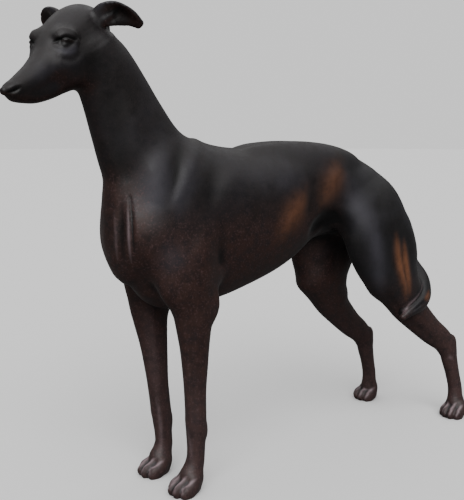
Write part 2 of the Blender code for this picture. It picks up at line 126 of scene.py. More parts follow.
# Painted shade in a groove for each unit of its depth, and the tints over each toe: which, strength,
# half width. Round each toe the dark tint is painted shade and the pale one is dust on its crest.
GROOVE_SHADE = 1.1
TOE_TINTS = (
    ("sunk", 0.6, 1.5),
    ("dust_and_lit_side", 1.0, 0.42),
)

# Dust on the lower legs, the flush all over, and how much of it the haunch loses.
LEG_DUST = 0.07
FLUSH = 0.1
HAUNCH_PALE = 0.75

# Where the skin is hollow (darkened as painted shade): how often that is evened, its level on flat skin,
# and its gain.
HOLLOW_PASSES = 3
HOLLOW_FLAT = 0.5
HOLLOW_GAIN = 14

# Colours of the patina.
CHARCOAL = (0.0085, 0.0078, 0.0082, 1)
VIOLET = (0.0145, 0.0138, 0.0165, 1)
BLUSH = (0.043, 0.0195, 0.0155, 1)
SPECK = (0.11, 0.06, 0.062, 1)
# Violet-grey painted sheen, laid where the light catches the shoulder, back, thigh and face.
SHEEN_PAINT = (0.06, 0.057, 0.07, 1)
RUB = (0.3, 0.118, 0.054, 1)
# Pale pinkish dust, also laid on as painted light on one lit side of a leg.
DUST_AND_LIT_SIDE = (0.27, 0.2, 0.215, 1)
# Near black for painted shade in creases, hollows and shaded places.
SHADE_BLACK = (0.003, 0.0025, 0.0025, 1)

# Strokes on both flanks: half width, height (sunk if below zero), and a line on the left side.
BODY_STROKES = (
    # Folds down the front of the chest: a trough between two fine ridges, and a slit beside them.
    (1.5, -0.45, ((5.6, -22.0, 83.5), (6.3, -22.4, 78), (6.3, -22.5, 73), (5.4, -21.8, 66.5))),
    (0.6, 0.32, ((6.9, -20.8, 83.5), (7.9, -21.2, 77), (8.1, -21.2, 73), (7.2, -20.3, 66))),
    (0.6, 0.22, ((3.9, -23.3, 82), (4.4, -22.9, 75.3), (4.2, -22.7, 71.1), (3.8, -22.4, 66))),
    (0.55, -0.4, ((6.8, -20.2, 86), (7.8, -20.1, 80), (8.7, -20.3, 74), (8.4, -19.9, 69))),
    # Neck.
    (2.4, -0.35, ((5.6, -25, 112), (5.5, -22.6, 100), (6.5, -20, 87))),
    (2.8, 0.3, ((6.3, -20, 112), (7.0, -17, 99), (8.5, -13.5, 89))),
    # Shoulder blade with its spine, and the upper arm.
    (4.0, 0.5, ((6.5, -9, 101), (8.0, -12, 93), (9.5, -15, 82))),
    (2.2, -0.5, ((7.6, -3.0, 99), (9.3, -6.7, 93.3), (10.4, -8.4, 88.6), (10.9, -10.8, 83))),
    (1.9, 0.42, (
        (7.0, 1.5, 98.5), (8.8, -1.5, 94.4), (10.7, -4.6, 90.1), (11.7, -6.8, 86.6), (12.0, -9, 82))),
    (3.6, -0.5, ((7.0, 9, 98), (11.5, 2.5, 86), (12.5, 0.5, 81), (13.0, -5, 71))),
    (3.6, 0.4, ((11.5, 12, 92), (12.5, 7, 84), (12.5, 5, 76))),
    (3.6, 0.5, ((12.5, 0, 80), (13.0, -2, 69), (13.0, -2, 58))),
    (3.2, -0.3, ((12.5, 5, 80), (12.0, 4.5, 69), (12.0, 4.5, 63), (12.0, 4, 52))),
    # Flank: the two rubbed swells and the fold between them.
    (2.8, 0.4, ((8.5, 52.8, 90), (9.6, 49.4, 85.7), (9.8, 46.3, 81.5), (9.5, 44.2, 77.5))),
    (3.2, 0.35, ((11.3, 36, 84), (11.4, 32.9, 77.6), (11.2, 29.3, 73.7), (10.5, 26, 69))),
    (1.8, -0.35, ((10.5, 41, 87), (10.4, 39.0, 80), (9.6, 39.6, 74.5))),
    # Thigh, hamstring and gaskin.
    (3.8, 0.5, ((8.9, 55, 89), (9.9, 57.5, 81), (12.0, 59.8, 75), (13.8, 63, 67), (14.2, 64, 58))),
    (2.8, -0.4, ((12.0, 66, 82), (15.0, 68.5, 67), (16.0, 71.5, 58), (15.5, 76, 46))),
    (1.1, 0.22, ((14.5, 72, 69), (15.5, 73.3, 61), (15.8, 75.2, 53), (15.6, 77.8, 46))),
    (0.7, -0.22, ((14.8, 74, 68), (15.7, 75.2, 60), (15.8, 76.9, 53), (15.6, 79.0, 47))),
    (1.0, 0.2, ((14.8, 76.2, 66), (15.5, 77.4, 59), (15.6, 78.6, 52))),
    (1.5, -0.35, ((14.5, 68, 50), (15, 78, 40), (15, 90, 31), (15, 97, 27))),
    # Tendons down the forearm.
    (0.8, -0.25, ((12.0, -4.5, 55), (11.0, -4, 41.5), (10.5, -3.2, 30), (11.0, -3.2, 16))),
    (0.8, -0.25, ((12.5, 0.5, 53), (11.5, -1.4, 41.5), (11.0, -1.2, 28))),
    (0.6, 0.25, ((5.4, -7.2, 50), (5.2, -6.1, 39.6), (5.4, -5.1, 31.7), (5.4, -4.8, 12))),
)

# Strokes on the left side only: the grooves and the ridge along the tail where it lies on the leg.
LEFT_STROKES = (
    (0.5, -0.35, ((10.2, 90.4, 51.8), (14.6, 87.2, 47.6), (16.6, 81.6, 44.8), (15.9, 77.5, 42.6))),
    (0.5, -0.35, ((10.8, 92.6, 49.2), (15.6, 89.2, 45.4), (17.2, 83, 43.2), (16.4, 77.8, 41))),
    (0.4, 0.12, ((12.6, 89.4, 50.0), (15.8, 83.8, 46.4), (15.9, 79.6, 44.2), (15.6, 77.3, 42.2))),
)

# Strokes on both sides of the head, in its own frame.
HEAD_STROKES = (
    # The crease over the eye, the brow, the pouch under the lower lid, the furrow below it, the cheek.
    (0.5, -0.65, ((2.7, -3.4, 2.2), (3.6, -2.6, 2.6), (4.5, -1.8, 2.8), (5.4, -0.6, 2.5), (6.1, 0.9, 1.5))),
    (1.0, 0.3, ((3.2, -2.2, 4.2), (4.2, -0.9, 4.4), (5.3, 0.5, 3.9), (6.2, 2.2, 2.4))),
    (0.9, 0.25, ((3.9, -4.1, 0.7), (5.0, -2.9, -0.5), (5.7, -0.8, -0.6), (6.0, 0.8, 0.0))),
    (0.9, -0.22, (
        (4.4, -4.2, -1.2), (5.1, -3.6, -1.9), (5.8, -2.0, -2.3), (6.1, -0.4, -2.1), (6.3, 0.8, -1.6))),
    (1.6, 0.12, ((4.4, -6.2, -2.0), (5.6, -3.6, -3.3), (6.2, -1.5, -3.8), (6.8, 2.0, -3.4))),
    # Nose: the nostril and the wing over it.
    (0.45, -0.5, ((1.0, -20.5, -3.5), (1.6, -19.5, -3.6), (2.0, -18.3, -3.5), (2.2, -17.2, -3.3))),
    (0.5, 0.2, ((1.4, -19.4, -2.5), (2.0, -18.0, -2.3), (2.4, -16.5, -2.6))),
    # Ear: the deep bowl of the shell.
    (1.6, -0.8, ((8.6, 11.6, 3.6), (10.8, 12.9, 3.9), (13.0, 14.9, 1.6))),
)

# Tints with no relief: which, how strong (taken off if below zero), half width, and a line on the
# figure. Dust is pale and bare, and one broad patch of it is painted light on a lit side. The darkest
# tint is painted shade in creases and shaded places, the violet tint is a painted sheen where light
# catches, blush is red-brown and rub is orange.
PATCHES = (
    # Chest: dust on the folds' ridges, painted shade in the trough, a flush beside it, and painted shade
    # above and across.
    ("dust_and_lit_side", 0.6, 0.4, ((6.9, -20.8, 82), (7.9, -21.2, 77), (8.1, -21.2, 73), (7.2, -20.3, 67))),
    ("dust_and_lit_side", 0.25, 0.4, ((3.9, -23.3, 81), (4.4, -22.9, 75.3), (4.2, -22.7, 71.1), (3.8, -22.4, 67))),
    ("sunk", 0.6, 0.9, ((5.7, -22.0, 83), (6.2, -22.4, 78), (6.2, -22.5, 73), (5.4, -21.8, 66.5))),
    ("blush", 0.6, 3.0, ((6.4, -19.7, 87), (8.0, -19.0, 81), (9.4, -19.3, 75))),
    ("sunk", 0.6, 3.4, ((4.0, -22.0, 97), (5.3, -20.8, 90.5), (6.4, -19.8, 83))),
    ("sunk", 0.5, 3.0, ((1.5, -23.2, 86), (1.5, -24, 77), (1.5, -23.5, 68))),
    # Painted sheen: violet-grey painted highlights on the shoulder, the back, the upper arm and the thigh.
    ("painted_sheen", 0.8, 4.2, ((7.8, -10.5, 97), (9.9, -13.2, 90), (9.9, -14.6, 84), (10.8, -14.4, 79))),
    ("painted_sheen", 0.6, 3.0, ((8.0, 0.0, 97), (10.7, -4.6, 90.1), (11.7, -6.8, 86.0), (12.2, -9.5, 79))),
    ("painted_sheen", 0.35, 5.0, ((10.5, 14, 90), (11, 26, 88), (10.5, 38, 88))),
    ("painted_sheen", 0.4, 4.0, ((12.0, -15, 71.5), (12.4, -12, 69), (13.1, -7.0, 65.4))),
    ("painted_sheen", 0.65, 4.2, (
        (8.5, 54.5, 90), (9.9, 57.0, 80.3), (11.6, 59.0, 75.9), (13.6, 62.0, 71), (14.2, 65, 57))),
    ("painted_sheen", 0.6, 2.8, ((14.8, 62.5, 70), (14.6, 64.2, 63), (14.2, 65.6, 56), (13.8, 68, 46))),
    # Rubbed flank, hamstring and tail.
    ("rub", 0.34, 4.4, ((8.0, 53.5, 92), (9.4, 50.0, 87), (9.8, 46.8, 82), (9.5, 44.5, 77))),
    ("rub", 0.42, 4.2, ((11.3, 36.5, 84), (11.5, 33.2, 79), (11.3, 30.2, 75), (10.8, 26.5, 69))),
    ("rub", 0.75, 1.7, ((15.4, 72.0, 68), (15.5, 73.2, 61), (15.6, 75.0, 55), (15.7, 78.0, 46.0))),
    ("rub", 0.6, 1.4, ((15.3, 76.0, 66), (15.5, 76.8, 60), (15.7, 78.0, 54), (15.7, 79.4, 47))),
    ("rub", 0.7, 0.9, ((14.9, 90.6, 47.2), (16.0, 88.6, 45.6), (16.4, 86, 44.6))),
    # The tail stays blue-black, with dust on its ridge.
    ("blush", -1.0, 3.0, (
        (0.3, 88.4, 68.5), (5.6, 90.7, 54.7), (13.0, 90.0, 46.8), (15.8, 81.5, 42.0), (15.4, 76.4, 39.8))),
    ("dust_and_lit_side", 0.45, 0.35, ((12.3, 89.4, 49.4), (15.8, 83.8, 46.4), (15.9, 79.6, 44.2), (15.6, 77.3, 42.2))),
    ("dust_and_lit_side", 0.5, 0.8, ((15.9, 78.4, 43.0), (15.5, 77.0, 42.0), (15.2, 76.2, 41.2))),
    # Painted shade where the belly tucks up between the thighs.
    ("sunk", 1.0, 5.0, ((4.5, 40, 69), (5.0, 47, 71), (5.5, 53, 70), (7.5, 57, 65))),
    ("sunk", 1.0, 4.0, ((3.0, 34, 62.5), (3.5, 40, 66), (4.0, 48, 69), (4.0, 57, 70))),
    ("sunk", 0.8, 3.0, ((7.0, 40, 71.5), (8.0, 46, 75), (8.0, 52, 75), (9.0, 56, 71))),
    ("sunk", 0.9, 6.0, ((-4.0, 46, 71), (-4.5, 55, 71), (-5.0, 62, 68))),
    # Painted light on the lit inner side of the right foreleg, a line of dust lower down it, dust below the
    # left wrist and on the left hock.
    ("dust_and_lit_side", 0.1, 2.5, ((-5.5, -9, 56), (-5.5, -7, 38), (-5.4, -6, 24))),
    ("dust_and_lit_side", 0.3, 0.5, ((-5.9, -6.1, 24.1), (-5.5, -5.3, 17.8), (-5.5, -4.8, 11.4), (-5.2, -5.4, 5.3))),
    ("dust_and_lit_side", 0.25, 0.5, ((8.4, -4.6, 19.2), (9.4, -4.0, 13.4), (9.9, -4.0, 8.5))),
    ("dust_and_lit_side", 0.35, 0.6, ((15.6, 101.2, 22.4), (15.9, 101.7, 21.6), (16.3, 102.9, 20.7))),
)

# Tints on both sides of the head, in its own frame: painted shade in the slit and the crease of the eye,
# a painted sheen on the pouch and the muzzle, painted shade on the cheek and the nose and in the ear's
# bowl, and a painted sheen on the ear's rim.
HEAD_PATCHES = (
    ("sunk", 1.0, 1.0, ((3.9, -2.9, 1.7), (5.0, -1.7, 1.6), (5.7, -0.3, 1.5))),
    ("sunk", 1.0, 0.9, ((2.6, -3.4, 2.3), (4.0, -2.4, 2.5), (5.1, -1.1, 2.5), (6.0, 0.6, 1.6))),
    ("painted_sheen", 0.9, 0.9, ((3.6, -4.2, 1.1), (4.8, -2.9, 0.1), (5.7, -0.9, -0.2), (6.1, 1.0, 0.6))),
    ("painted_sheen", 0.45, 2.0, ((2.9, -15, -3.2), (3.4, -10, -2.8), (4.4, -6, -2.0))),
    ("sunk", 0.7, 3.6, ((6.6, 1.0, 0.0), (6.6, 3, -4.0), (5.6, 4.5, -9.5))),
    ("sunk", 0.8, 1.2, ((0.4, -20.9, -4.0), (1.5, -19.6, -4.2), (2.2, -17.7, -4.3), (2.4, -15.8, -4.3))),
    ("sunk", 1.0, 2.0, ((8.4, 11.8, 1.6), (10.6, 13.0, 1.8), (13.0, 15.0, 0.8))),
    ("painted_sheen", 0.7, 0.8, ((5.8, 11.6, 5.4), (8.0, 12.4, 6.6), (10.4, 13.6, 6.6), (12.6, 15.2, 4.4))),
)


def through(rows, steps=6):
    """Rows of numbers joined by a smooth curve, with each gap between two rows cut into steps."""
    rows = np.array(rows, dtype=float)
    ends = np.vstack([2 * rows[0] - rows[1], rows, 2 * rows[-1] - rows[-2]])
    curve = []
    for before, start, stop, after in zip(ends, ends[1:], ends[2:], ends[3:]):
        for t in np.arange(steps) / steps:
            bend = 2 * before - 5 * start + 4 * stop - after
            twist = 3 * start - before - 3 * stop + after
            curve.append(0.5 * (2 * start + (stop - before) * t + bend * t ** 2 + twist * t ** 3))
    curve.append(rows[-1])
    return np.array(curve)


def unit(vectors):
    """The same vectors at length one."""
    return vectors / np.maximum(np.linalg.norm(vectors, axis=-1, keepdims=True), 1e-9)


def loft(rows, side=LEFT, around=36, cap=0.9):
    """A closed tube with oval rings and rounded ends.

    A row is x, y, z, the half width along side and the half depth across it. A sixth number makes the
    ring wider at one end of its depth than at the other, and a seventh bends both ends to the side.
    """
    rows = [tuple(row) + (0.0,) * (7 - len(row)) for row in rows]
    path = through(rows)
    centre = path[:, :3]
    along = unit(np.gradient(centre, axis=0))
    across = unit(side - (along @ side)[:, None] * along)
    deep = np.cross(across, along)
    rings = []
    first = cap * min(path[0, 3:5])
    last = cap * min(path[-1, 3:5])
    for turn in CAP_RINGS:
        angle = math.radians(turn)
        rings.append((0, -first * math.sin(angle), math.cos(angle)))
    rings += [(index, 0.0, 1.0) for index in range(len(path))]
    for turn in reversed(CAP_RINGS):
        angle = math.radians(turn)
        rings.append((len(path) - 1, last * math.sin(angle), math.cos(angle)))
    turn = np.linspace(0, 2 * math.pi, around, endpoint=False)[:, None]
    points = []
    for index, shift, size in rings:
        wide, high, pinch, curl = path[index, 3:7]
        width = size * (wide * np.cos(turn) * (1 + pinch * np.sin(turn)) + curl * np.sin(turn) ** 2)
        depth = high * size * np.sin(turn)
        middle = centre[index] + shift * along[index]
        points.append(middle + width * across[index] + depth * deep[index])
    points = np.vstack(points)
    faces = []
    for ring in range(len(rings) - 1):
        for step in range(around):
            a = ring * around + step
            b = ring * around + (step + 1) % around
            faces.append((a, a + around, b + around, b))
    faces.append(tuple(range(around)))
    faces.append(tuple(reversed(range(len(points) - around, len(points)))))
    return points, faces


def lump(at, size, turn=(0, 0, 0)):
    """A closed egg with three half lengths, turned about x, then y, then z."""
    shape = bmesh.new()
    bmesh.ops.create_uvsphere(shape, u_segments=EGG_AROUND, v_segments=EGG_AROUND * 2 // 3, radius=1)
    points = np.array([vertex.co for vertex in shape.verts]) * np.array(size)
    faces = [tuple(vertex.index for vertex in face.verts) for face in shape.faces]
    shape.free()
    spin = np.eye(3)
    for angle, axis in zip(turn, "XYZ"):
        spin = np.array(Matrix.Rotation(math.radians(angle), 3, axis)) @ spin
    return points @ spin.T + np.array(at), faces


class Form:
    """A closed shape of the figure, with how softly it melts into the forms before it."""

    def __init__(self, shape, blend, hollow=False, place=None):
        points, faces = shape
        if place is not None:
            points = place(points)
        self.points = points
        self.faces = faces
        self.blend = blend
        self.hollow = hollow
        self.tree = BVHTree.FromPolygons([Vector(point) for point in points], faces)
        self.low = points.min(axis=0) - blend - REACH
        self.high = points.max(axis=0) + blend + REACH

    def gap(self, points):
        """How far each point is outside the form, and the direction in which that grows."""
        near = []
        normal = []
        for point in points.tolist():
            nearest, facing, _, _ = self.tree.find_nearest(point)
            near.append(nearest)
            normal.append(facing)
        offset = points - np.array(near)
        normal = np.array(normal)
        length = np.linalg.norm(offset, axis=1)
        sign = np.where(np.sum(offset * normal, axis=1) < 0, -1.0, 1.0)
        way = np.where(length[:, None] < 1e-4, normal, unit(offset) * sign[:, None])
        return length * sign, way


def skin(points, forms):
    """The melted skin's distance from each point, and the direction in which that grows."""
    gap = np.full(len(points), FAR)
    way = np.zeros((len(points), 3))
    for form in forms:
        near = np.all((points > form.low) & (points < form.high), axis=1)
        index = np.nonzero(near)[0]
        if len(index) == 0:
            continue
        theirs, their_way = form.gap(points[index])
        ours, our_way = gap[index], way[index]
        sense = -1.0 if form.hollow else 1.0
        if form.hollow:
            theirs, their_way = -theirs, -their_way
        share = np.clip(1 - np.abs(ours - theirs) / form.blend, 0, 1)
        gap[index] = sense * (np.minimum(sense * ours, sense * theirs) - share ** 2 * form.blend / 4)
        weight = np.where(sense * ours < sense * theirs, 1 - share / 2, share / 2)[:, None]
        way[index] = our_way * weight + their_way * (1 - weight)
    return gap, way


def draw_on(points, forms, steps=4):
    """The points moved onto the melted skin."""
    for _ in range(steps):
        gap, way = skin(points, forms)
        slope = np.maximum(np.sum(way ** 2, axis=1), LEAST_SLOPE)
        move = np.clip(gap / slope, -LONGEST_STEP, LONGEST_STEP)
        points = points - move[:, None] * way
    return points


def spun(turn, tilt):
    """The rotation that tilts a part's own frame and then turns it."""
    spin = Matrix.Rotation(math.radians(turn), 3, "Z") @ Matrix.Rotation(math.radians(tilt), 3, "X")
    return np.array(spin)


def turned(at, turn=0.0, tilt=0.0, size=1.0):
    """What carries points from a part's own frame, which faces -Y, to its place in the figure."""
    spin = spun(turn, tilt)
    at = np.array(at)

    def place(points):
        return (points * size) @ spin.T + at

    return place


def mirrored(shape):
    """The same shape on the other side of the midline."""
    points, faces = shape
    return points * (-1, 1, 1), [tuple(reversed(face)) for face in faces]


def both(shape):
    """The shape and its mirror image."""
    return shape, mirrored(shape)


def torso():
    """Deep chest, tucked belly, arched loin and sloping croup, then the muscles that lie on them."""
    trunk = loft((
        (0, -16.5, 73.0, 8.0, 13, 0.1),
        (0, -10, 73.0, 10.2, 18.6, 0.15),
        (0, -1, 73.9, 11.4, 22.0, 0.2),
        (0, 10, 74.8, 12.0, 22.3, 0.22),
        (0, 21, 76.1, 12.2, 20.7, 0.22),
        (0, 31, 78.5, 11.8, 19.3, 0.2),
        (0, 41, 81.6, 10.6, 16.5, 0.15),
        (0, 51, 83.3, 9.4, 13.8, 0.1),
        (0, 61, 82.0, 9.0, 12.2, 0),
        (0, 71, 78.1, 8.6, 10.5, 0),
        (0, 78.5, 74.0, 7.4, 8.7, 0),
        (0, 83.5, 71.2, 5.0, 6.8, 0),
    ), around=64)
    forms = [Form(trunk, 1)]
    for blade in both(lump((8.0, -5, 79), (4.0, 8.5, 15.5), (20, -8, 0))):
        forms.append(Form(blade, 4))
    for point in both(lump((7.0, -13.7, 72), (4.2, 5.1, 8.5), (25, 0, 0))):
        forms.append(Form(point, 6))
    for arm in both(lump((9.2, -4.5, 62.6), (4.0, 8.8, 9.8), (-25, 0, 0))):
        forms.append(Form(arm, 3.5))
    forms.append(Form(lump((0, -16.1, 74), (6.0, 5.9, 13), (8, 0, 0)), 5))
    forms.append(Form(lump((0, -4, 57), (5.0, 9, 5.0), (-8, 0, 0)), 5))
    sheath = loft((
        (0, 36, 66.2, 2.0, 2.1),
        (0, 45, 69.0, 2.1, 2.5),
        (0, 52, 70.4, 2.0, 2.5),
        (0, 57, 71.8, 1.5, 1.6),
    ))
    forms.append(Form(sheath, 1.5))
    for back in both(lump((3.6, 42, 92.75), (3.4, 22, 5.0), (-4, 0, 0))):
        forms.append(Form(back, 3))
    return forms


def neck():
    """Long neck, deep from throat to nape, that widens into the chest and the withers."""
    stem = loft((
        (0, 3, 80.5, 8.0, 14.3),
        (0, -7.0, 87.3, 8.6, 15.7),
        (0, -12.4, 95.0, 7.8, 12.8),
        (0, -16.6, 103.5, 6.9, 10.9),
        (0.1, -19.9, 110.6, 6.3, 9.6),
        (0.3, -23.4, 117.2, 6.0, 8.4),
        (0.6, -26.0, 121.0, 5.5, 7.2),
    ), around=48)
    return [Form(stem, 6)]


def head_place():
    """What carries points from the head's own frame to its place in the figure."""
    return turned(HEAD_AT, HEAD_TURN, HEAD_TILT, HEAD_SIZE)


def head():
    """Long narrow skull and muzzle, in a frame of its own whose origin is between the eyes."""
    place = head_place()
    skull = loft((
        (0, 15.5, 0.0, 4.8, 5.5),
        (0, 11, 0.9, 6.0, 6.5),
        (0, 6, 0.8, 6.2, 6.4),
        (0, 1, 0.1, 5.4, 5.3),
        (0, -4, -1.8, 4.2, 3.9),
        (0, -9, -3.0, 3.3, 3.15),
        (0, -13, -3.5, 2.8, 2.7),
        (0, -16.2, -3.6, 2.3, 2.2),
        (0, -18.4, -3.3, 1.75, 1.7),
        (0, -20.1, -3.0, 1.0, 0.95),
    ))
    jaw = loft((
        (0, 10, -6.2, 3.6, 4.2),
        (0, 5, -6.8, 4.1, 3.8),
        (0, -1, -7.1, 3.6, 3.1),
        (0, -7, -7.4, 2.8, 2.4),
        (0, -12, -7.1, 2.1, 1.75),
        (0, -15.6, -6.0, 1.6, 1.3),
        (0, -17.6, -5.1, 1.2, 1.0),
    ))
    forms = [Form(skull, 3, place=place), Form(jaw, 2.4, place=place)]
    for cheek in both(lump((3.7, 2.5, -4.6), (2.6, 7.5, 4.2), (-8, 0, 0))):
        forms.append(Form(cheek, 4, place=place))
    for brow in both(lump((3.8, 0.3, 3.0), (2.6, 3.0, 1.6), (0, 25, 10))):
        forms.append(Form(brow, 1.5, place=place))
    cheekbone = loft((
        (3.3, -5.0, -2.6, 0.7, 0.8),
        (4.5, -1.5, -3.3, 0.8, 0.9),
        (5.3, 2.5, -2.8, 0.8, 1.0),
        (5.9, 6.5, -1.2, 0.7, 0.9),
    ), around=16)
    for arch in both(cheekbone):
        forms.append(Form(arch, 1.8, place=place))
    for eye in both(lump((4.2, -0.9, 1.35), (1.25, 1.9, 0.95), (0, 20, 25))):
        forms.append(Form(eye, 0.3, place=place))
    lid = loft((
        (3.1, -3.2, 1.6, 0.3, 0.3),
        (4.3, -2.8, 0.75, 0.45, 0.45),
        (5.2, -1.5, 0.2, 0.5, 0.5),
        (5.7, 0.0, 0.35, 0.45, 0.45),
        (6.0, 1.4, 1.1, 0.3, 0.3),
    ), around=14)
    for lower_lid in both(lid):
        forms.append(Form(lower_lid, 0.8, place=place))
    return forms


def ears():
    """Folded ears: a pointed shell that stands out sideways and back, its rims curled forward."""
    shell = loft((
        (5.2, 11.6, 3.4, 1.5, 2.2, 0, -0.2),
        (7.4, 12.9, 4.1, 1.3, 2.9, 0, -0.9),
        (9.9, 14.4, 4.0, 1.2, 3.0, 0, -1.3),
        (12.2, 15.7, 2.5, 1.1, 2.4, 0, -1.0),
        (13.8, 16.7, 0.2, 0.9, 1.3, 0, -0.3),
    ), side=np.array((0.0, 1.0, 0.0)), cap=0.8)
    fold = loft((
        (5.7, 11.0, 1.1, 0.6, 0.6),
        (7.2, 11.6, 2.9, 0.6, 0.6),
        (9.5, 12.8, 3.9, 0.5, 0.5),
    ), around=14)
    place = head_place()
    forms = [Form(ear, 1.2, place=place) for ear in both(shell)]
    forms += [Form(crease, 0.8, place=place) for crease in both(fold)]
    return forms


def along_bones(joints, profile):
    """Rows for a limb: bone, share of it, shift sideways and back, half width and half depth."""
    outward = 1 if joints[0][0] > 0 else -1
    rows = []
    for bone, share, out, back, width, depth in profile:
        start = np.array(joints[bone], dtype=float)
        stop = np.array(joints[bone + 1], dtype=float)
        middle = start + (stop - start) * share
        rows.append((middle[0] + out * outward, middle[1] + back, middle[2], width, depth))
    return rows


def foreleg(joints):
    """Forearm, wrist and pastern, with the elbow behind."""
    rows = along_bones(joints, (
        (0, -0.3, -1.5, 0.5, 3.8, 8.6),
        (0, 0.0, -0.2, -0.3, 4.0, 6.6),
        (0, 0.2, 0.0, -0.3, 3.5, 5.4),
        (0, 0.38, 0.0, -0.1, 3.1, 4.5),
        (0, 0.56, 0.0, 0.0, 2.8, 3.9),
        (0, 0.76, 0.0, 0.0, 2.5, 3.4),
        (0, 0.94, 0.0, 0.1, 2.65, 3.2),
        (1, 0.08, 0.0, 0.1, 2.75, 3.2),
        (1, 0.32, 0.0, 0.1, 2.6, 3.0),
        (1, 0.75, 0.0, 0.0, 2.4, 2.7),
        (1, 1.0, 0.0, -0.4, 2.4, 2.9),
        (2, 0.4, 0.0, -0.7, 2.7, 3.3),
    ))
    forms = [Form(loft(rows), 3.5)]
    outward = 1 if joints[0][0] > 0 else -1
    elbow = np.array(joints[0]) + (0.4 * outward, 4.6, -0.5)
    forms.append(Form(lump(elbow, (2.4, 2.8, 4.2), (-15, 0, 0)), 2.5))
    wrist_pad = np.array(joints[1]) + (0, 2.4, -4.6)
    forms.append(Form(lump(wrist_pad, (1.4, 1.3, 2.6)), 1.6))
    return forms


def paw(at, toe_out, width, length):
    """Four arched toes in front of a pad. All of them reach below the floor, where the sole is cut."""
    outward = 1 if at[0] > 0 else -1
    place = turned(at, toe_out * outward)
    forms = [Form(lump((0, 0.4, 2.6), (3.1 * width, 3.6 * length, 3.5)), 2.5, place=place)]
    forms.append(Form(lump((0, -1.6 * length, 0.9), (3.5 * width, 4.8 * length, 2.1)), 1.0, place=place))
    for out, reach, high in TOES:
        toe = loft((
            (out * 0.7 * width, 0.3 * length, high + 2.0, 1.4, 2.0),
            (out * 0.95 * width, (reach - 2.6) * length, high, 1.35, 2.1),
            (out * 1.02 * width, (reach - 4.7) * length, high - 1.1, 1.3, 2.2),
            (out * 0.98 * width, (reach - 6.0) * length, high - 1.8, 1.05, 1.7),
        ), around=20)
        forms.append(Form(toe, 0.45, place=place))
    return forms


def hindleg(joints):
    """Broad thigh, gaskin, hock with its tendon, and the long bone down to the paw."""
    outward = 1 if joints[0][0] > 0 else -1
    thigh = loft(along_bones(joints, (
        (0, 0.0, -2.4, -8, 3.4, 8.0),
        (0, 0.14, -0.8, -6.5, 5.6, 11.8),
        (0, 0.34, 0.4, -4.6, 6.4, 13.2),
        (0, 0.58, 0.4, -2.6, 6.4, 13.2),
        (0, 0.8, 0.2, -1.0, 5.8, 11.5),
        (0, 0.94, 0.0, 0.2, 5.2, 8.2),
    )), around=48)
    shank = loft(along_bones(joints, (
        (1, -0.12, -0.2, 0.9, 5.0, 7.6),
        (1, 0.1, 0.0, 0.2, 5.0, 7.2),
        (1, 0.32, 0.0, -1.4, 4.3, 6.4),
        (1, 0.54, 0.0, -1.8, 3.4, 5.5),
        (1, 0.76, 0.0, -1.5, 2.7, 4.8),
        (1, 0.93, 0.0, -0.3, 2.4, 4.3),
        (2, 0.12, 0.0, 0.3, 2.4, 4.0),
        (2, 0.3, 0.0, 0.2, 2.3, 3.4),
        (2, 0.6, 0.0, 0.2, 2.25, 2.75),
        (2, 0.9, 0.0, 0.0, 2.3, 2.7),
        (3, 0.35, 0.0, -0.3, 2.5, 3.1),
    )))
    hamstring = loft(along_bones(joints, (
        (0, 0.42, -0.6, 6.0, 4.0, 5.0),
        (0, 0.62, 0.0, 7.0, 4.4, 5.0),
        (0, 0.84, 0.0, 7.4, 4.0, 4.8),
        (1, 0.06, 0.0, 7.0, 3.2, 3.8),
        (1, 0.22, 0.0, 4.6, 2.4, 3.0),
    )))
    forms = [Form(thigh, 6), Form(hamstring, 4), Form(shank, 4)]
    heel = np.array(joints[2]) + (0.1 * outward, 2.6, 0.2)
    forms.append(Form(lump(heel, (1.6, 1.7, 2.6), (-20, 0, 0)), 1.6))
    return forms


def tuck():
    """The hollow under each flank, between the belly and the front of the thigh."""
    return [
        Form(lump((10.5, 49.0, 70.5), (6.5, 7.5, 6.0)), 2.5, hollow=True),
        Form(lump((-10.5, 42.5, 67.0), (6.0, 6.5, 5.5)), 2.5, hollow=True),
    ]


def tail():
    """Thin tail that hangs behind the thighs, bends forward at the left gaskin and lies across it."""
    rows = (
        (0, 79.4, 79.4, 3.0, 3.2),
        (0, 85.8, 75.0, 2.7, 2.9),
        (0.3, 88.4, 68.5, 2.4, 2.7),
        (2.0, 89.7, 61.0, 2.2, 3.2),
        (5.6, 90.7, 54.7, 2.2, 3.8),
        (10.0, 91.5, 49.8, 2.0, 3.8),
        (13.0, 90.0, 46.8, 1.8, 3.2),
        (15.0, 87.0, 44.0, 1.6, 2.3),
        (15.8, 81.5, 42.0, 1.5, 1.8),
        (15.4, 76.4, 39.8, 1.2, 1.2),
    )
    return [Form(loft(rows, around=24), 1.6)]


def figure():
    """All the forms of the dog, in the order in which they melt together."""
    forms = torso() + neck() + head() + ears()
    for joints in (LEFT_HIND, RIGHT_HIND):
        forms += hindleg(joints)
        forms += paw(joints[-1], HIND_TOE_OUT, *HIND_PAW)
    forms += tuck()
    for joints in (LEFT_FORE, RIGHT_FORE):
        forms += foreleg(joints)
        forms += paw(joints[-1], FORE_TOE_OUT, *FORE_PAW)
    return forms + tail()


def mesh_object(name, points, faces):
    """A new object in the scene that holds these points and faces."""
    mesh = bpy.data.meshes.new(name)
    mesh.from_pydata([tuple(point) for point in points], [], faces)
    item = bpy.data.objects.new(name, mesh)
    bpy.context.scene.collection.objects.link(item)
    return item


def applied(item):
    """Turn the object's modifiers into its mesh."""
    depsgraph = bpy.context.evaluated_depsgraph_get()
    mesh = bpy.data.meshes.new_from_object(item.evaluated_get(depsgraph))
    item.modifiers.clear()
    item.data = mesh


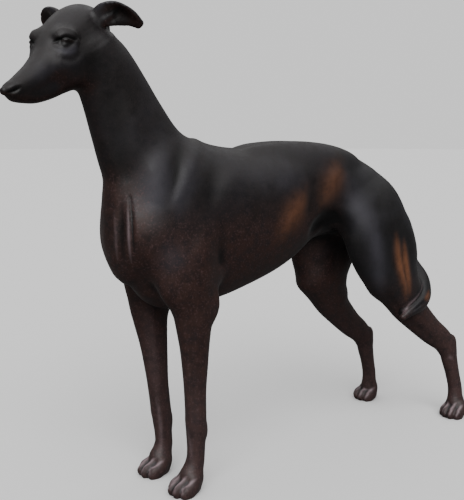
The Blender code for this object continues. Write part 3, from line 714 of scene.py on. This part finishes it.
def remeshed(name, forms, spacing):
    """One body round the union of the forms that add material."""
    points = []
    faces = []
    start = 0
    for form in forms:
        if form.hollow:
            continue
        points.append(form.points)
        faces += [tuple(index + start for index in face) for face in form.faces]
        start += len(form.points)
    body = mesh_object(name, np.vstack(points), faces)
    remesh = body.modifiers.new("Remesh", "REMESH")
    remesh.mode = "VOXEL"
    remesh.voxel_size = spacing
    applied(body)
    return body


def coordinates(mesh):
    """The mesh's points as an array."""
    points = np.empty(len(mesh.vertices) * 3)
    mesh.vertices.foreach_get("co", points)
    return points.reshape(-1, 3)


def set_coordinates(mesh, points):
    """Move the mesh's points to these places."""
    mesh.vertices.foreach_set("co", points.astype(np.float32).ravel())
    mesh.update()


def neighbour_mean(mesh, points):
    """The average of each point's neighbours."""
    pairs = np.empty(len(mesh.edges) * 2, dtype=np.int64)
    mesh.edges.foreach_get("vertices", pairs)
    pairs = pairs.reshape(-1, 2)
    total = np.zeros_like(points)
    count = np.zeros(len(points))
    for here, there in ((0, 1), (1, 0)):
        np.add.at(total, pairs[:, here], points[pairs[:, there]])
        np.add.at(count, pairs[:, here], 1)
    return total / count[:, None]


def finer(mesh, wanted):
    """Cut every quad between wanted points into four."""
    shape = bmesh.new()
    shape.from_mesh(mesh)
    edges = []
    for edge in shape.edges:
        if wanted[edge.verts[0].index] and wanted[edge.verts[1].index]:
            edges.append(edge)
    bmesh.ops.subdivide_edges(shape, edges=edges, cuts=1, use_grid_fill=True)
    shape.to_mesh(mesh)
    shape.free()


def in_head(points):
    """Points of the figure, in the head's own frame."""
    return (points - np.array(HEAD_AT)) @ spun(HEAD_TURN, HEAD_TILT) / HEAD_SIZE


def fine_parts(points):
    """Which points lie on the head, the ears, the paws, the tail's bend or the folds of the chest."""
    head_points = in_head(points)
    face = (head_points[:, 1] < 9) & (head_points[:, 2] > -12) & (points[:, 2] > 104)
    ear = (np.abs(head_points[:, 0]) > 4.5) & (head_points[:, 1] > 5) & (points[:, 2] > 122)
    bend = (points[:, 0] > 8) & (points[:, 1] > 74) & (points[:, 2] > 38) & (points[:, 2] < 56)
    chest = (np.abs(points[:, 0]) < 11) & (points[:, 1] < -17.5) & (np.abs(points[:, 2] - 75) < 10)
    wanted = face | ear | bend | chest
    for joints, _, _ in PAWS:
        offset = np.abs(points - np.array(joints[-1]))
        wanted |= (offset[:, 0] < 8) & (offset[:, 1] < 12) & (offset[:, 2] < 7)
    return wanted


def finest_parts(points):
    """Which points lie round the eyes, the nose or the inner fold of an ear."""
    head_points = in_head(points)
    side = np.abs(head_points[:, 0])
    eyes = (np.abs(head_points[:, 1] + 1) < 4.2) & (np.abs(head_points[:, 2] - 1.6) < 3.6) & (side > 2.2)
    nose = head_points[:, 1] < -14.5
    folds = (side > 5) & (np.abs(head_points[:, 1] - 12) < 4.5) & (np.abs(head_points[:, 2] - 3) < 4)
    return (eyes | nose | folds) & (points[:, 2] > 104)


def evened(mesh, points, share):
    """The points, each moved by a share of the way to the middle of its neighbours."""
    return (1 - share) * points + share * neighbour_mean(mesh, points)


def shaped(mesh, forms):
    """Draw the mesh onto the melted skin, cutting it finer and evening it out on the way."""
    points = evened(mesh, coordinates(mesh), EVENING)
    points = draw_on(points, forms, steps=2)
    for parts in (fine_parts, finest_parts):
        set_coordinates(mesh, points)
        finer(mesh, parts(points))
        points = evened(mesh, coordinates(mesh), EVENING)
        points = draw_on(points, forms, steps=2)
    set_coordinates(mesh, evened(mesh, points, LAST_EVENING))


def stroke(points, line, width):
    """How much a stroke along the line touches each point. It thins out to a point at both ends."""
    least = np.full(len(points), FAR)
    along = np.zeros(len(points))
    for index, (start, stop) in enumerate(zip(line, line[1:])):
        run = stop - start
        share = np.clip(((points - start) @ run) / (run @ run), 0, 1)
        square = np.sum((points - start - share[:, None] * run) ** 2, axis=1)
        closer = square < least
        least = np.where(closer, square, least)
        along = np.where(closer, (index + share) / (len(line) - 1), along)
    swell = np.sin(math.pi * np.clip(along, STROKE_END, 1 - STROKE_END)) ** STROKE_BLUNT
    spread = width * (STROKE_LEAST + (1 - STROKE_LEAST) * swell)
    return np.exp(-least / spread ** 2) * swell


def stroke_lines():
    """Every stroke with its line on the figure, on both sides: half width, height and line."""
    place = head_place()
    for width, height, line in BODY_STROKES:
        for sense in (1, -1):
            yield width, height, through(np.array(line) * (sense, 1, 1), LINE_STEPS)
    for width, height, line in HEAD_STROKES:
        for sense in (1, -1):
            yield width, height, place(through(np.array(line) * (sense, 1, 1), LINE_STEPS))
    for width, height, line in LEFT_STROKES:
        yield width, height, through(line, LINE_STEPS)


def patch_lines():
    """Every tinted patch with its line on the figure: tint, strength, half width and line."""
    place = head_place()
    for tint, amount, width, line in PATCHES:
        yield tint, amount, width, through(line, LINE_STEPS)
    for tint, amount, width, line in HEAD_PATCHES:
        for sense in (1, -1):
            yield tint, amount, width, place(through(np.array(line) * (sense, 1, 1), LINE_STEPS))
    for crest in toe_lines():
        for tint, amount, width in TOE_TINTS:
            yield tint, amount, width, crest


def toe_lines():
    """The crest of every toe, from the knuckle to the claw."""
    for joints, toe_out, (_, length) in PAWS:
        outward = 1 if joints[-1][0] > 0 else -1
        place = turned(joints[-1], toe_out * outward)
        for out, reach, high in TOES:
            crest = (
                (out, reach - 1.6, high + 2.5),
                (out, reach - 4.4, high + 1.2),
                (out, reach - 6.9, high - 1.4),
            )
            yield place(through(np.array(crest) * (1, length, 1), LINE_STEPS))


def ramp(values, low, high):
    """A smooth step from 0 at low to 1 at high."""
    share = np.clip((values - low) / (high - low), 0, 1)
    return share ** 2 * (3 - 2 * share)


def ruddy(points, normals):
    """How red-brown the patina is: on the legs, the belly and the breast, and less on top."""
    x, y, z = points.T
    legs = ramp(-z, -66, -48)
    belly = ramp(-z, -86, -66) * ramp(-y, -62, -50)
    breast = ramp(-y, 12, 20) * ramp(-z, -96, -84)
    under = ramp(-normals[:, 2], 0.1, 0.7)
    haunch = ramp(y, 52, 60) * ramp(z, 36, 50) * ramp(np.abs(x), 5, 9)
    return FLUSH + np.maximum.reduce([legs, belly, breast, under]) - HAUNCH_PALE * haunch


def touched(points, line, width):
    """The points near a stroke and how much it touches them."""
    low = line.min(axis=0) - STROKE_REACH * width
    high = line.max(axis=0) + STROKE_REACH * width
    near = np.nonzero(np.all((points > low) & (points < high), axis=1))[0]
    return near, stroke(points[near], line, width)


def carved(mesh, forms):
    """Raise the ridges and sink the grooves along the skin's normals, and note the tints they leave."""
    points = coordinates(mesh)
    normals = np.empty(len(mesh.vertices) * 3)
    mesh.vertex_normals.foreach_get("vector", normals)
    normals = normals.reshape(-1, 3)
    lift = np.zeros(len(points))
    tints = {name: np.zeros(len(points)) for name in ("rub", "blush", "painted_sheen", "dust_and_lit_side", "sunk")}
    for width, height, line in stroke_lines():
        line = draw_on(line, forms)
        near, weight = touched(points, line, width)
        lift[near] += height * weight
        # A sunk stroke also darkens its groove with painted shade.
        if height < 0:
            tints["sunk"][near] -= GROOVE_SHADE * height * weight
    for tint, amount, width, line in patch_lines():
        near, weight = touched(points, draw_on(line, forms), width)
        tints[tint][near] += amount * weight
    tints["blush"] += ruddy(points, normals)
    tints["dust_and_lit_side"] += LEG_DUST * ramp(-points[:, 2], -50, -12)
    points = points + lift[:, None] * normals
    set_coordinates(mesh, points)
    # How hollow the skin is, which the patina darkens as painted shade.
    hollow = np.sum((neighbour_mean(mesh, points) - points) * normals, axis=1)
    for _ in range(HOLLOW_PASSES):
        hollow = neighbour_mean(mesh, hollow[:, None])[:, 0]
    tints["hollow"] = HOLLOW_FLAT + hollow * HOLLOW_GAIN
    for name, values in tints.items():
        layer = mesh.attributes.new(name, "FLOAT", "POINT")
        layer.data.foreach_set("value", np.clip(values, 0, 1).astype(np.float32))


def cut_soles(mesh):
    """Cut the paws flat at the floor and close them."""
    shape = bmesh.new()
    shape.from_mesh(mesh)
    everything = shape.verts[:] + shape.edges[:] + shape.faces[:]
    bmesh.ops.bisect_plane(
        shape, geom=everything, plane_co=(0, 0, FLOOR), plane_no=(0, 0, -1), clear_outer=True, dist=1e-6)
    rim = [edge for edge in shape.edges if edge.is_boundary]
    bmesh.ops.holes_fill(shape, edges=rim, sides=0)
    bmesh.ops.triangulate(shape, faces=[face for face in shape.faces if len(face.verts) > 4])
    bmesh.ops.recalc_face_normals(shape, faces=shape.faces[:])
    shape.to_mesh(mesh)
    shape.free()


def greyhound():
    """The dressed figure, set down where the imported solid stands."""
    forms = figure()
    dog = remeshed("greyhound_figure", forms, SPACING * (1))
    shaped(dog.data, forms)
    carved(dog.data, forms)
    cut_soles(dog.data)
    low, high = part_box("greyhound")
    points = coordinates(dog.data)
    middle = (points.min(axis=0) + points.max(axis=0)) / 2
    points = (points - (middle[0], middle[1], FLOOR)) * UNIT
    points += ((low[0] + high[0]) / 2, (low[1] + high[1]) / 2, 0)
    set_coordinates(dog.data, points)
    dog.data.shade_smooth()
    return dog, middle


class Nodes:
    """Short calls for building a material's nodes."""

    def __init__(self, name):
        self.material = bpy.data.materials.new(name)
        self.material.use_nodes = True
        self.tree = self.material.node_tree
        self.shader = self.tree.nodes["Principled BSDF"]

    def add(self, kind, **settings):
        """A new node with these settings."""
        node = self.tree.nodes.new(kind)
        for key, value in settings.items():
            setattr(node, key, value)
        return node

    def link(self, value, socket):
        """Feed the socket from another socket, or set it to a number or a colour."""
        if isinstance(value, bpy.types.NodeSocket):
            self.tree.links.new(value, socket)
        else:
            socket.default_value = value

    def noise(self, scale, detail, roughness=0.6):
        """A noise in the object's own space, in waves per metre."""
        place = self.add("ShaderNodeTexCoord")
        noise = self.add("ShaderNodeTexNoise")
        self.link(place.outputs["Object"], noise.inputs["Vector"])
        noise.inputs["Scale"].default_value = scale
        noise.inputs["Detail"].default_value = detail
        noise.inputs["Roughness"].default_value = roughness
        return noise.outputs["Fac"]

    def between(self, value, low, high, to_low=0.0, to_high=1.0):
        """The value's run from low to high, spread smoothly over another run."""
        node = self.add("ShaderNodeMapRange", interpolation_type="SMOOTHSTEP")
        self.link(value, node.inputs["Value"])
        runs = (("From Min", low), ("From Max", high), ("To Min", to_low), ("To Max", to_high))
        for name, number in runs:
            node.inputs[name].default_value = number
        return node.outputs["Result"]

    def math(self, operation, first, second):
        """The sum or product of two values, kept between 0 and 1."""
        node = self.add("ShaderNodeMath", operation=operation, use_clamp=True)
        self.link(first, node.inputs[0])
        self.link(second, node.inputs[1])
        return node.outputs["Value"]

    def tint(self, name):
        """A tint that the mesh carries, from 0 to 1."""
        return self.add("ShaderNodeAttribute", attribute_name=name).outputs["Fac"]

    def mix(self, share, under, over):
        """One colour laid over another."""
        node = self.add("ShaderNodeMix", data_type="RGBA")
        self.link(share, node.inputs["Factor"])
        self.link(under, node.inputs[6])
        self.link(over, node.inputs[7])
        return node.outputs[2]


def patina():
    """Near-black satin patina, clouded violet-grey, red-brown below, rubbed and dusty; painted sheen, shade
    and light.
    """
    nodes = Nodes("aged_dark_patina")
    cloud = nodes.noise(38, 5)
    mottle = nodes.noise(170, 6, 0.7)
    speck = nodes.noise(800, 3)
    colour = nodes.mix(nodes.between(cloud, 0.35, 0.65), CHARCOAL, VIOLET)
    blush = nodes.math("MULTIPLY", nodes.tint("blush"), nodes.between(mottle, 0.3, 0.62, 0.35, 1.0))
    colour = nodes.mix(blush, colour, BLUSH)
    # Painted sheen: a lighter violet-grey painted highlight where the light catches, broken up by the
    # cloud.
    painted_sheen = nodes.math("MULTIPLY", nodes.tint("painted_sheen"), nodes.between(cloud, 0.3, 0.6, 0.6, 1.0))
    colour = nodes.mix(painted_sheen, colour, SHEEN_PAINT)
    ruddiness = nodes.between(nodes.tint("blush"), 0.1, 0.8, 0.06, 0.5)
    pinhead = nodes.math("MULTIPLY", nodes.between(speck, 0.52, 0.68), ruddiness)
    colour = nodes.mix(pinhead, colour, SPECK)
    rub = nodes.math("MULTIPLY", nodes.tint("rub"), nodes.between(mottle, 0.25, 0.6, 0.55, 1.0))
    colour = nodes.mix(rub, colour, RUB)
    # Painted shade: hollows and creases of the skin and the shaded places are darkened towards near black.
    crease = nodes.between(nodes.tint("hollow"), 0.56, 0.85, 0.0, 0.7)
    shade_paint = nodes.math("MULTIPLY", nodes.tint("sunk"), 0.75)
    colour = nodes.mix(nodes.math("ADD", crease, shade_paint), colour, SHADE_BLACK)
    # Pale dust on toes and ridges, and in one broad patch painted light on a lit side.
    dust_and_lit_side = nodes.math("MULTIPLY", nodes.tint("dust_and_lit_side"), nodes.between(mottle, 0.3, 0.55, 0.5, 1.0))
    colour = nodes.mix(dust_and_lit_side, colour, DUST_AND_LIT_SIDE)
    nodes.link(colour, nodes.shader.inputs["Base Color"])
    nodes.link(nodes.between(mottle, 0.3, 0.7, 0.42, 0.56), nodes.shader.inputs["Roughness"])
    nodes.shader.inputs["Specular IOR Level"].default_value = 0.42
    nodes.shader.inputs["Sheen Weight"].default_value = 0.06
    nodes.shader.inputs["Sheen Roughness"].default_value = 0.4
    bump = nodes.add("ShaderNodeBump")
    grit = nodes.math("MULTIPLY", nodes.noise(900, 3), 0.5)
    grain = nodes.math("ADD", grit, nodes.math("MULTIPLY", mottle, 0.5))
    nodes.link(grain, bump.inputs["Height"])
    bump.inputs["Strength"].default_value = 0.25
    bump.inputs["Distance"].default_value = 0.0003
    nodes.link(bump.outputs["Normal"], nodes.shader.inputs["Normal"])
    return nodes.material


def lamp(name, source, spread, strength):
    """A distant soft lamp that shines from the source's direction."""
    light = bpy.data.lights.new(name, "SUN")
    light.angle = math.radians(spread)
    light.energy = strength
    item = bpy.data.objects.new(name, light)
    item.rotation_euler = Vector(source).to_track_quat("Z", "Y").to_euler()
    bpy.context.scene.collection.objects.link(item)


def air():
    """A bright dome overhead that fades out towards the horizon, in front of a pale backdrop."""
    world = bpy.data.worlds.new("studio_air")
    world.use_nodes = True
    tree = world.node_tree
    dome = tree.nodes["Background"]
    place = tree.nodes.new("ShaderNodeTexCoord")
    height = tree.nodes.new("ShaderNodeSeparateXYZ")
    fade = tree.nodes.new("ShaderNodeMapRange")
    fade.interpolation_type = "SMOOTHSTEP"
    fade.inputs["From Min"].default_value = DOME_RIM[0]
    fade.inputs["From Max"].default_value = DOME_RIM[1]
    fade.inputs["To Min"].default_value = LOW_LIGHT
    fade.inputs["To Max"].default_value = DOME_LIGHT
    tree.links.new(place.outputs["Generated"], height.inputs["Vector"])
    tree.links.new(height.outputs["Z"], fade.inputs["Value"])
    tree.links.new(fade.outputs["Result"], dome.inputs["Strength"])
    backdrop = tree.nodes.new("ShaderNodeBackground")
    backdrop.inputs["Strength"].default_value = BACKDROP
    rays = tree.nodes.new("ShaderNodeLightPath")
    choice = tree.nodes.new("ShaderNodeMixShader")
    for background in (dome, backdrop):
        background.inputs["Color"].default_value = (1, 1, 1, 1)
    tree.links.new(rays.outputs["Is Camera Ray"], choice.inputs["Fac"])
    tree.links.new(dome.outputs["Background"], choice.inputs[1])
    tree.links.new(backdrop.outputs["Background"], choice.inputs[2])
    tree.links.new(choice.outputs["Shader"], tree.nodes["World Output"].inputs["Surface"])
    bpy.context.scene.world = world


def floor():
    """A plain pale floor that throws little light back up."""
    bpy.ops.mesh.primitive_circle_add(vertices=96, radius=FLOOR_RADIUS, fill_type="NGON")
    plate = bpy.context.object
    plate.name = "studio_floor"
    nodes = Nodes("pale_floor")
    rays = nodes.add("ShaderNodeLightPath")
    dim = (FLOOR_BOUNCE, FLOOR_BOUNCE, FLOOR_BOUNCE, 1)
    pale = (FLOOR_PALE, FLOOR_PALE, FLOOR_PALE, 1)
    nodes.link(nodes.mix(rays.outputs["Is Camera Ray"], dim, pale), nodes.shader.inputs["Base Color"])
    nodes.shader.inputs["Roughness"].default_value = 0.9
    plate.data.materials.append(nodes.material)


def camera(middle):
    """The photograph's viewpoint, worked out in anatomy units and carried into metres."""
    turn, dip = math.radians(VIEW_TURN), math.radians(VIEW_DIP)
    back = Vector((math.sin(turn) * math.cos(dip), -math.cos(turn) * math.cos(dip), math.sin(dip)))
    right = Vector((math.cos(turn), math.sin(turn), 0))
    pose = Matrix((right, back.cross(right), back)).transposed().to_4x4()
    pose.translation = (Vector(VIEW_FROM) - Vector((middle[0], middle[1], FLOOR))) * UNIT
    lens = bpy.data.cameras.new("photo_view")
    lens.sensor_width = 36
    lens.lens = VIEW_LENS
    lens.clip_start = 0.01
    eye = bpy.data.objects.new("photo_view", lens)
    eye.matrix_world = pose
    bpy.context.scene.collection.objects.link(eye)
    bpy.context.scene.camera = eye


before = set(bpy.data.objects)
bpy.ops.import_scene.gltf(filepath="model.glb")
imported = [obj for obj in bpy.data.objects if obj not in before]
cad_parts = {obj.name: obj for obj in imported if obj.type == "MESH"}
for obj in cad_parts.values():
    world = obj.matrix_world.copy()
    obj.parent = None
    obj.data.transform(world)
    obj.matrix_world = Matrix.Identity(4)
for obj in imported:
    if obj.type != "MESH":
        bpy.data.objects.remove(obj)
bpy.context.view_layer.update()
dog, dog_middle = greyhound()
dog.data.materials.append(patina())
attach(dog, "root")
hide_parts("greyhound")
floor()
air()
for settings in LAMPS:
    lamp(*settings)
camera(dog_middle)
